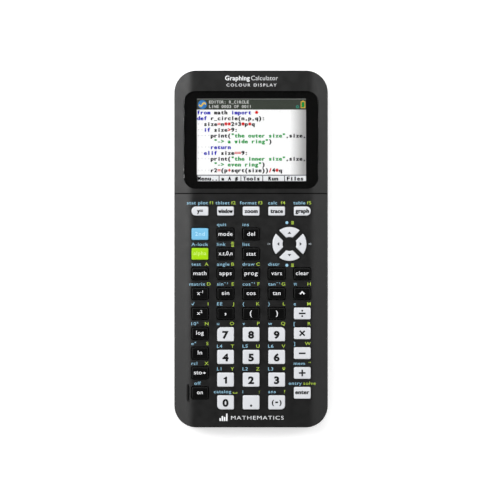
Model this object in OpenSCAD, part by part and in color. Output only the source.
// Graphing calculator: a two-part case, a colour display under a window, fifty sprung keys and their board.
// It lies on its back. +X is to the right, +Y towards the display end and +Z up out of the face.
// The origin is the middle of its footprint, on the surface that the feet stand on. Millimetres.

/* [Case] */
// Width of the case
case_w = 80.4; // [80.2:0.1:82]
// Length of the case
case_l = 187; // [186.5:0.5:190]
// Radius of the case corners, seen from the front
corner_r = 11.5; // [10.5:0.5:12.5]
// Height of the flat face above the surface that the feet stand on
face_z = 14.4; // [14.4:0.1:15.2]
// Height of the parting line between the two housings
part_z = 8; // [7.9:0.1:8.1]
// Thickness of the housings' walls
wall = 1.8; // [1.7:0.1:1.9]
// Thickness of the rear housing's floor
floor_t = 1.6; // [1.5:0.1:1.7]
// Width of the flat part of the face, between the shoulders
flat_w = 58.6; // [58:0.2:59.2]
// Slope of the shoulders at their outer edges, in degrees
shoulder_a = 18; // [14:1:18]
// Radius of the bend from the face into each shoulder
shoulder_r = 18.8; // [16:0.2:19]
// Radius of the rear housing's lower edge
belly_r = 4; // [3:0.5:4.5]
// Width of the shadow gap along the parting line
shadow_gap = 0.2; // [0.1:0.05:0.3]

/* [Display] */
// Width of the window
window_w = 70.4; // [70:0.2:70.8]
// Length of the window
window_l = 51; // [50.6:0.2:51.4]
// Middle of the window, measured from the middle of the case
window_y = 57.2; // [57:0.1:58]
// Corner radius of the window
window_r = 6; // [4:0.5:7]
// Thickness of the window
window_t = 1.2; // [1:0.1:1.3]
// How far the window lies below the face
window_depth = 1.3; // [1.2:0.1:1.4]
// Width of the display module behind the window
module_w = 64.4; // [64:0.2:65]
// Length of the display module
module_l = 47.4; // [47:0.2:47.6]

/* [Keys] */
// Distance between key columns
col_pitch = 13.4; // [13.2:0.1:13.4]
// Distance between the rows of function keys
row_pitch = 10.4; // [10.3:0.1:10.4]
// Distance between the rows of digit keys
digit_pitch = 11.9; // [11.8:0.1:12]
// Width of a key
key_w = 8.9; // [8.6:0.1:9.2]
// Length of a function key
key_l = 6.3; // [6.1:0.1:6.6]
// Length of a digit key
digit_l = 7.55; // [7.4:0.05:7.8]
// Length of a key in the row under the window
top_l = 4.9; // [4.7:0.1:5.2]
// How far the keys stand above the face
key_proud = 1.1; // [0.8:0.1:1.2]
// Travel of a key
key_travel = 1.2; // [0.8:0.1:1.2]
// Clearance between a key and its hole
key_gap = 0.35; // [0.3:0.05:0.4]
// Outer radius of the ring of arrow keys
arrow_r = 9; // [8.8:0.1:9.1]
// Inner radius of the ring of arrow keys
arrow_hole_r = 3.6; // [3.4:0.1:3.8]
// Width of the bars between the arrow keys
arrow_bar = 2.2; // [2.1:0.1:2.4]

/* [Power] */
// Width of the battery cover
cover_w = 47.7; // [46:0.1:48]
// Length of the battery cover
cover_l = 61.7; // [61:0.1:62]
// Width of the battery pack
pack_w = 40; // [36:1:42]
// Length of the battery pack
pack_l = 52; // [48:1:52]

/* [Hidden] */
$fn = 64;
// How far solids that are joined overlap, and how far a cutter runs past what it cuts
eps = 0.01;
cut = 1;

// Heights through the case
foot_z = 0.5;
floor_z = foot_z + floor_t;
roof_t = 1.8;
window_z = face_z - window_depth;
ledge_t = 1.3;
ledge_z = window_z - window_t - ledge_t;
board_z = 7;
board_t = 1.2;
board_top = board_z + board_t;
key_top = face_z + key_proud;
flange_t = 0.9;
flange_z = face_z - roof_t - 0.5 - flange_t;
flange_w = 0.8;
arrow_flange_w = 0.5;
sheet_t = 0.8;
sheet_z = board_top;
dome_z = flange_z - key_travel - 0.1;

// Clearances round the window and the display module, and the width of the ledge under the window
window_gap = 0.1;
module_gap = 0.4;
ledge_w = 1.6;

// The board: its width and length, and the tab that carries the charging socket
board_w = 64.8;
board_l = 168;
tab_w = 20;
tab_l = 10.8;
tab_y = 86;

// The rubber sheet over the contacts, and its domes
sheet_w = 64;
sheet_l = 108;
sheet_y = -30;
dome_r = 2.4;
arrow_dome_r = 1.8;
dome_taper = 0.7;

// The seam across the face, below the window
seam_y = 29.1;
seam_w = 0.5;
seam_d = 0.9;

// The groove beside the on key, and the raised lip round its outer side
groove_x = col_x(0) - key_w / 2 - 1.35;
groove_l = 7;
groove_r = 0.3;
groove_z = face_z - 1.2;
lip_w = 0.9;
lip_rise = 0.1;

// The lip of the rear housing that stands inside the front housing
rear_lip_inset = 1;
rear_lip_h = 1;
rear_lip_gap = 0.1;

// Rows and columns of keys
top_y = 19.9;
first_y = 7.85;
digit_y = -44.65;
function col_x(c) = (c - 2) * col_pitch;
function row_y(n) = first_y - n * row_pitch;
function digit_row_y(n) = digit_y - n * digit_pitch;

// The arrow keys stand between columns 3 and 4 and between the first two rows
arrow_x = 1.5 * col_pitch;
arrow_y = first_y - row_pitch / 2;
ARROWS = [["key_right", 0], ["key_up", 90], ["key_left", 180], ["key_down", 270]];

// A key is its name, column, middle in y, length and colour
function keys_in_row(names, col, y, l, colour) =
  [for (i = [0 : len(names) - 1]) [str("key_", names[i]), col + i, y, l, colour]];
white = "#e2e4e6";
black = "#141415";
KEYS = concat(
  keys_in_row(["y_equals", "window", "zoom", "trace", "graph"], 0, top_y, top_l, white),
  keys_in_row(["2nd"], 0, row_y(0), key_l, "#78c8f0"),
  keys_in_row(["mode", "del"], 1, row_y(0), key_l, black),
  keys_in_row(["alpha"], 0, row_y(1), key_l, "#a5e10f"),
  keys_in_row(["variable", "stat"], 1, row_y(1), key_l, black),
  keys_in_row(["math", "apps", "prog", "vars", "clear"], 0, row_y(2), key_l, black),
  keys_in_row(["inverse", "sin", "cos", "tan", "power"], 0, row_y(3), key_l, black),
  keys_in_row(["square", "comma", "open_bracket", "close_bracket"], 0, row_y(4), key_l, black),
  keys_in_row(["divide"], 4, row_y(4), key_l, white),
  keys_in_row(["log"], 0, row_y(5), key_l, black),
  keys_in_row(["ln"], 0, row_y(6), key_l, black),
  keys_in_row(["store"], 0, row_y(7), key_l, black),
  keys_in_row(["on"], 0, row_y(8), key_l, black),
  keys_in_row(["multiply"], 4, row_y(5), key_l, white),
  keys_in_row(["subtract"], 4, row_y(6), key_l, white),
  keys_in_row(["add"], 4, row_y(7), key_l, white),
  keys_in_row(["enter"], 4, row_y(8), key_l, white),
  keys_in_row(["7", "8", "9"], 1, digit_row_y(0), digit_l, white),
  keys_in_row(["4", "5", "6"], 1, digit_row_y(1), digit_l, white),
  keys_in_row(["1", "2", "3"], 1, digit_row_y(2), digit_l, white),
  keys_in_row(["0", "point", "negative"], 1, digit_row_y(3), digit_l, white)
);

// Corner radii of a key: upper left, upper right, lower right, lower left
tight_r = 0.8;
wide_r = 2.2;
function key_radii(name) =
  name == "key_y_equals" ? [wide_r, tight_r, tight_r, wide_r] :
  name == "key_graph" ? [tight_r, wide_r, wide_r, tight_r] :
  name == "key_7" ? [wide_r, tight_r, tight_r, tight_r] :
  name == "key_9" ? [tight_r, wide_r, tight_r, tight_r] :
  name == "key_negative" ? [tight_r, tight_r, wide_r, tight_r] :
  name == "key_0" ? [tight_r, tight_r, tight_r, wide_r] :
  [tight_r, tight_r, tight_r, tight_r];

// The screws that hold the two housings together
SCREWS = [[30, 87.5], [-30, 87.5], [30, -87.5], [-30, -87.5], [35.2, 27], [-35.2, 27]];
boss_r = 2.6;
post_r = 1.5;
screw_r = 0.95;
screw_hole_r = 1;
screw_pass_r = 1.15;
head_r = 1.75;
head_well_r = 2;
head_seat_z = 3;
head_t = 1.5;
screw_tip_z = 10.6;
recess_l = 2;
recess_w = 0.5;
recess_d = 0.7;

// The battery compartment
cover_y = -38;
cover_t = 1.25;
cover_gap = 0.15;
cover_r = 3;
cover_ledge = 1.6;
cover_ledge_t = 1.4;
cover_screw_y = cover_y + cover_l / 2 - 3;
cover_seat_z = 1.9;
cover_pad_r = 3;
cover_pad_z = 2.9;
hook_x = 12;
hook_w = 6;
hook_stem = 0.8;
hook_reach = 1.8;
grip_lines = 5;
grip_pitch = 1.8;
grip_w = 14;
grip_line = 0.8;
grip_d = 0.3;
pack_t = 4.3;
pack_y = cover_y - 2;

// The rubber feet
FEET = [[27, 76], [-27, 76], [27, -78.5], [-27, -78.5]];
foot_r = 4.5;
foot_sink = 0.8;

// The charging socket and its lamp, in the display end
socket_x = 14;
socket_w = 7.7;
socket_h = 3.9;
socket_depth = 9.1;
socket_back = 1.1;
socket_shell = 0.4;
socket_gap = 0.3;
tongue = [4.4, 6, 0.6];
tongue_in = 2.5;
lamp_x = 21.5;
lamp_z = 10.2;
lamp_r = 0.8;
lamp_l = 5.4;
lamp_base = [2.4, 3, 3.2];

// The reset button, in the back
reset_y = 20;
reset_r = 1.3;
reset_travel = 0.5;
collar_t = 0.7;
collar_w = 0.9;
switch_h = 1.3;

// What hangs under the board: middle in x and y, then width, length and height
PROCESSOR = [-6, 48, 12, 12, 1.2];
MEMORY = [12, 46, 9, 11, 1];
CHARGER = [-18, 34, 6, 6, 0.9];
DRIVER = [14, 24, 7, 4, 1.6];
PLUG = [0, -73, 8, 5, 2.4];
CHIPS = [PROCESSOR, MEMORY, CHARGER, DRIVER, PLUG];
switch_w = 4.5;

// Posts that carry the board
POSTS = [[28, 60], [-28, 60], [28, 2], [-28, 2], [28, -60], [-28, -60]];

// ---- Outlines ----

// A rectangle with one radius at its four corners
module round_rect(w, l, r) {
  square([w - 2 * r, l], center = true);
  square([w, l - 2 * r], center = true);
  for (x = [-1, 1], y = [-1, 1])
    translate([x * (w / 2 - r), y * (l / 2 - r)]) circle(r);
}

// A rectangle whose four radii differ, in the order of key_radii
module key_rect(w, l, radii, grow = 0) {
  half_w = w / 2 + grow;
  half_l = l / 2 + grow;
  sides = [[-1, 1], [1, 1], [1, -1], [-1, -1]];
  difference() {
    square([2 * half_w, 2 * half_l], center = true);
    for (i = [0 : 3]) {
      r = radii[i] + grow;
      translate([sides[i].x * (half_w - r), sides[i].y * (half_l - r)])
        difference() {
          translate([sides[i].x > 0 ? 0 : -r - 1, sides[i].y > 0 ? 0 : -r - 1]) square(r + 1);
          circle(r);
        }
    }
  }
}

// The case seen from the front
module case_outline(inset = 0) {
  round_rect(case_w - 2 * inset, case_l - 2 * inset, corner_r - inset);
}

// One arrow key, pointing along +X
module arrow_outline(grow = 0) {
  intersection() {
    difference() {
      circle(arrow_r + grow);
      circle(arrow_hole_r - grow);
    }
    translate([(arrow_bar / 2 - grow) * sqrt(2), 0])
      polygon([[0, 0], [2 * arrow_r, 2 * arrow_r], [2 * arrow_r, -2 * arrow_r]]);
  }
}

// Half the width of the case in section: flat face, bend, slope
module crown_half(lower) {
  bend_w = shoulder_r * sin(shoulder_a);
  bend_h = shoulder_r * (1 - cos(shoulder_a));
  x = flat_w / 2;
  z = face_z - lower;
  edge_z = z - bend_h - (case_w / 2 - x - bend_w) * tan(shoulder_a);
  polygon([[-eps, 0], [case_w / 2, 0], [case_w / 2, edge_z], [x + bend_w, z - bend_h], [x, z], [-eps, z]]);
  intersection() {
    translate([x, z - bend_h - 1]) square([bend_w, bend_h + 2]);
    translate([x, z - shoulder_r]) circle(shoulder_r, $fn = 180);
  }
}

// ---- Solids that are used more than once ----

// Everything under the face, or under a surface that lies lower by the same amount everywhere
module under_face(inset, lower, from_z) {
  intersection() {
    rotate([90, 0, 0]) linear_extrude(case_l + 2, center = true) union() {
      crown_half(lower);
      mirror([1, 0]) crown_half(lower);
    }
    translate([0, 0, from_z]) linear_extrude(face_z) case_outline(inset);
  }
}

// Section of a tray's wall, from the middle of its corner radius outwards
module pan_section(r, h, edge_r) {
  difference() {
    square([r, h]);
    translate([r - edge_r, 0]) difference() {
      translate([0, -1]) square([edge_r + 1, edge_r + 1]);
      translate([0, edge_r]) circle(edge_r);
    }
  }
}

// A block of the case's outline whose lower edge is rounded
module pan(inset, z0, z1, edge_r) {
  r = corner_r - inset;
  h = z1 - z0;
  x = case_w / 2 - corner_r;
  y = case_l / 2 - corner_r;
  translate([0, 0, z0]) {
    translate([-x, -y, 0]) cube([2 * x, 2 * y, h]);
    for (c = [[1, 1, 0], [-1, 1, 90], [-1, -1, 180], [1, -1, 270]])
      translate([c.x * x, c.y * y, 0]) rotate(c.z) rotate_extrude(angle = 90) pan_section(r, h, edge_r);
    for (a = [0, 180]) rotate(a) {
      translate([x, 0, 0]) rotate([90, 0, 0]) linear_extrude(2 * y, center = true)
        pan_section(r, h, edge_r);
      translate([0, y, 0]) rotate([90, 0, 90]) linear_extrude(2 * x, center = true)
        pan_section(r, h, edge_r);
    }
  }
}

// A box from its middle in x and y, its lowest z and its size
module block(x, y, z, size) {
  translate([x - size.x / 2, y - size.y / 2, z]) cube(size);
}

// A rod along Z between two heights
module rod(x, y, z0, z1, r) {
  translate([x, y, z0]) cylinder(h = z1 - z0, r = r);
}

// The space that the charging socket needs in the end wall
module socket_space() {
  block(socket_x, case_l / 2, board_top - socket_gap,
        [socket_w + 2 * socket_gap, 3 * wall, socket_h + 2 * socket_gap]);
}

// ---- Sub-parts ----

module front_housing() {
  color("#2e2e30") difference() {
    union() {
      under_face(0, 0, part_z);
      on_key_lip();
    }
    difference() {
      under_face(wall, roof_t, part_z - cut);
      // Ledge that the window lies on
      translate([0, window_y, ledge_z]) linear_extrude(face_z)
        round_rect(window_w + 2 * ledge_w, window_l + 2 * ledge_w, window_r + 1);
      for (s = SCREWS) rod(s.x, s.y, part_z, face_z, boss_r);
    }
    // Rebate for the rear housing's lip
    translate([0, 0, part_z - cut]) linear_extrude(rear_lip_h + cut + rear_lip_gap) difference() {
      case_outline(rear_lip_inset - rear_lip_gap);
      case_outline(wall + eps);
    }
    for (s = SCREWS) rod(s.x, s.y, part_z - cut, screw_tip_z + 0.3, screw_hole_r);
    // Window and the opening behind it
    translate([0, window_y, window_z - window_t]) linear_extrude(face_z)
      round_rect(window_w + 2 * window_gap, window_l + 2 * window_gap, window_r + window_gap);
    translate([0, window_y, part_z - cut]) linear_extrude(face_z)
      round_rect(module_w + 2 * module_gap, module_l + 2 * module_gap, 1.5);
    // Key holes
    for (k = KEYS) translate([col_x(k[1]), k[2], part_z]) linear_extrude(face_z)
      key_rect(key_w, k[3], key_radii(k[0]), key_gap);
    for (a = ARROWS) translate([arrow_x, arrow_y, part_z]) rotate(a[1]) linear_extrude(face_z)
      arrow_outline(key_gap);
    seam();
    translate([groove_x, row_y(8), groove_z]) linear_extrude(face_z) stadium(groove_l, groove_r);
    socket_space();
    translate([lamp_x, case_l / 2 + cut, lamp_z]) rotate([90, 0, 0])
      cylinder(h = 3 * wall, r = lamp_r + 0.15);
  }
}

// Groove across the whole face
module seam() {
  difference() {
    translate([0, seam_y, part_z + cut]) linear_extrude(face_z)
      square([case_w + 2 * cut, seam_w], center = true);
    rotate([90, 0, 0]) linear_extrude(case_l, center = true) union() {
      crown_half(seam_d);
      mirror([1, 0]) crown_half(seam_d);
    }
  }
}

// A slot's outline, along Y
module stadium(l, r) {
  square([2 * r, l], center = true);
  for (y = [-l / 2, l / 2]) translate([0, y]) circle(r);
}

// The shoulder's raised lip round the outer side of the groove beside the on key
module on_key_lip() {
  translate([groove_x, row_y(8), groove_z]) linear_extrude(face_z - lip_rise - groove_z) intersection() {
    stadium(groove_l, groove_r + lip_w);
    translate([-groove_l, -groove_l]) square([groove_l + groove_r / 2, 2 * groove_l]);
  }
}

module rear_housing() {
  top_z = part_z - shadow_gap;
  inner_w = cover_w - 2 * cover_ledge;
  inner_l = cover_l - 2 * cover_ledge;
  color("#26272a") {
    difference() {
      union() {
        difference() {
          pan(0, foot_z, part_z + rear_lip_h, belly_r);
          pan(wall, floor_z, part_z + rear_lip_h + cut, belly_r - wall);
          // Only a thin lip goes on above the parting line, inside the front housing
          translate([0, 0, top_z]) linear_extrude(rear_lip_h + 2 * cut) difference() {
            square([case_w + 2 * cut, case_l + 2 * cut], center = true);
            case_outline(rear_lip_inset);
          }
        }
        for (s = SCREWS) rod(s.x, s.y, foot_z + 0.5, part_z, boss_r);
        for (p = POSTS) rod(p.x, p.y, foot_z + 0.5, board_z, post_r);
        // Ledge round the battery cover
        translate([0, cover_y, foot_z + 0.5]) linear_extrude(cover_t + cover_ledge_t - 0.5)
          round_rect(cover_w + 4, cover_l + 4, cover_r + 2);
      }
      // Seat for the cover, and the way into the battery compartment
      translate([0, cover_y, foot_z - cut]) linear_extrude(cover_t + cut)
        round_rect(cover_w + 2 * cover_gap, cover_l + 2 * cover_gap, cover_r + cover_gap);
      difference() {
        translate([0, cover_y, 0]) linear_extrude(part_z) round_rect(inner_w, inner_l, cover_r - 1);
        rod(0, cover_screw_y, cover_pad_z + 0.1, board_z, boss_r);
        block(0, cover_screw_y + 2.5, cover_pad_z + 0.1, [2 * boss_r, 5, board_z - cover_pad_z - 0.3]);
      }
      rod(0, cover_screw_y, 0, cover_pad_z + 0.1, cover_pad_r + 0.2);
      rod(0, cover_screw_y, 0, board_z - 0.6, screw_hole_r);
      for (s = SCREWS) {
        rod(s.x, s.y, 0, head_seat_z, head_well_r);
        rod(s.x, s.y, 0, part_z + cut, screw_pass_r);
      }
      for (f = FEET) rod(f.x, f.y, 0, foot_z + foot_sink, foot_r + 0.2);
      rod(0, reset_y, 0, floor_z + cut, reset_r + 0.2);
      socket_space();
    }
  }
  // Rubber feet, each stuck into a round well
  color("#101010") for (f = FEET) rod(f.x, f.y, 0, foot_z + foot_sink - 0.05, foot_r);
}

module battery_cover() {
  stem_y = cover_y - cover_l / 2 + cover_ledge + 0.6;
  hook_z = foot_z + cover_t + cover_ledge_t + 0.1;
  color("#242528") difference() {
    union() {
      translate([0, cover_y, foot_z]) linear_extrude(cover_t) round_rect(cover_w, cover_l, cover_r);
      rod(0, cover_screw_y, foot_z + 0.5, cover_pad_z, cover_pad_r);
      // Hooks that catch on the ledge at the far end
      for (x = [-hook_x, hook_x]) {
        block(x, stem_y, foot_z + 0.5, [hook_w, hook_stem, hook_z + hook_stem - foot_z - 0.5]);
        block(x, stem_y - hook_reach / 2, hook_z, [hook_w, hook_stem + hook_reach, hook_stem]);
      }
    }
    rod(0, cover_screw_y, 0, cover_seat_z, head_well_r);
    rod(0, cover_screw_y, 0, part_z, screw_pass_r);
    // Finger grip: short lines across the cover, the middle one longest
    for (i = [0 : grip_lines - 1]) {
      off_middle = i - (grip_lines - 1) / 2;
      block(0, cover_screw_y - 8 - grip_pitch * off_middle, foot_z + grip_d - cut,
            [grip_w - 2 * abs(off_middle), grip_line, cut]);
    }
  }
}

module screen_window() {
  color("#16161a") translate([0, window_y, window_z - window_t]) linear_extrude(window_t)
    round_rect(window_w, window_l, window_r);
}

module display_module() {
  top_z = window_z - window_t - 0.05;
  peg_in = 3;
  color("#8f9399") {
    translate([0, window_y, board_top + 0.5]) linear_extrude(top_z - board_top - 0.5)
      round_rect(module_w, module_l, 1);
    // Pegs on the board
    for (x = [-1, 1], y = [-1, 1])
      rod(x * (module_w / 2 - peg_in), window_y + y * (module_l / 2 - peg_in), board_top, board_top + 1, 1);
  }
}

module main_board() {
  color("#1f6b45") {
    translate([0, 0, board_z]) linear_extrude(board_t) union() {
      square([board_w, board_l], center = true);
      translate([socket_x, tab_y]) square([tab_w, tab_l], center = true);
    }
    for (c = CHIPS) block(c[0], c[1], board_z - c[4], [c[2], c[3], c[4] + 0.1]);
    // Reset switch
    block(0, reset_y, board_z - switch_h, [switch_w, switch_w, switch_h + 0.1]);
    charging_socket();
    // Lamp beside the socket
    block(lamp_x, tab_y + lamp_base.y / 2, board_top - 0.1, lamp_base);
    translate([lamp_x, case_l / 2 - 0.1, lamp_z]) rotate([90, 0, 0]) cylinder(h = lamp_l, r = lamp_r);
  }
}

// A miniature five-pin socket: a folded shell with a tongue inside, open at the end wall
module charging_socket() {
  mouth_y = case_l / 2 - 0.2;
  room = socket_depth - socket_back;
  difference() {
    block(socket_x, mouth_y - socket_depth / 2, board_top - eps, [socket_w, socket_depth, socket_h]);
    block(socket_x, mouth_y - room / 2 + eps, board_top + socket_shell,
          [socket_w - 2 * socket_shell, room, socket_h - 2 * socket_shell]);
  }
  block(socket_x, mouth_y - tongue_in - tongue.y / 2, board_top + socket_h / 2 - tongue.z / 2, tongue);
}

module key_membrane() {
  arrow_dome_at = (arrow_r + arrow_hole_r) / 2;
  color("#b9bcc0") {
    translate([0, sheet_y, sheet_z]) linear_extrude(sheet_t) round_rect(sheet_w, sheet_l, 3);
    for (k = KEYS) dome(col_x(k[1]), k[2], dome_r);
    for (a = ARROWS)
      dome(arrow_x + arrow_dome_at * cos(a[1]), arrow_y + arrow_dome_at * sin(a[1]), arrow_dome_r);
  }
}

// A rubber dome over one contact
module dome(x, y, r) {
  low_z = sheet_z + sheet_t / 2;
  translate([x, y, low_z]) cylinder(h = dome_z - low_z, r1 = r, r2 = r * dome_taper);
}

module battery_pack() {
  color("#4f7fb5") {
    translate([0, pack_y, floor_z]) linear_extrude(pack_t) round_rect(pack_w, pack_l, 2);
  }
}

module case_screws() {
  color("#9a9da1") {
    for (s = SCREWS) screw(s.x, s.y, head_seat_z, screw_tip_z);
    screw(0, cover_screw_y, cover_seat_z, board_z - 0.9);
  }
}

// A pan-head screw with a cross recess, head down
module screw(x, y, seat_z, tip_z) {
  t = min(head_t, seat_z - 0.8);
  difference() {
    union() {
      rod(x, y, seat_z - t, seat_z, head_r);
      rod(x, y, seat_z - eps, tip_z, screw_r);
    }
    block(x, y, seat_z - t + recess_d - cut, [recess_l, recess_w, cut]);
    block(x, y, seat_z - t + recess_d - cut, [recess_w, recess_l, cut]);
  }
}

module reset_button() {
  color("#3a3b3e") {
    rod(0, reset_y, foot_z + 0.4, board_z - switch_h - reset_travel - 0.1, reset_r);
    rod(0, reset_y, floor_z + 0.1, floor_z + 0.1 + collar_t, reset_r + collar_w);
  }
}

// A key: its cap, and the flange that keeps it under the face
module key(k) {
  color(k[4]) translate([col_x(k[1]), k[2], 0]) {
    radii = key_radii(k[0]);
    translate([0, 0, flange_z]) linear_extrude(flange_t) key_rect(key_w, k[3], radii, flange_w);
    translate([0, 0, flange_z + eps]) linear_extrude(key_top - flange_z - eps) key_rect(key_w, k[3], radii);
  }
}

// An arrow key, pointing away from the middle of the ring
module arrow_key(a) {
  color(white) translate([arrow_x, arrow_y, 0]) rotate(a[1]) {
    translate([0, 0, flange_z]) linear_extrude(flange_t) arrow_outline(arrow_flange_w);
    translate([0, 0, flange_z + eps]) linear_extrude(key_top - flange_z - eps) arrow_outline();
  }
}

front_housing();
rear_housing();
battery_cover();
screen_window();
display_module();
main_board();
key_membrane();
battery_pack();
case_screws();
reset_button();
for (k = KEYS) key(k);
for (a = ARROWS) arrow_key(a);
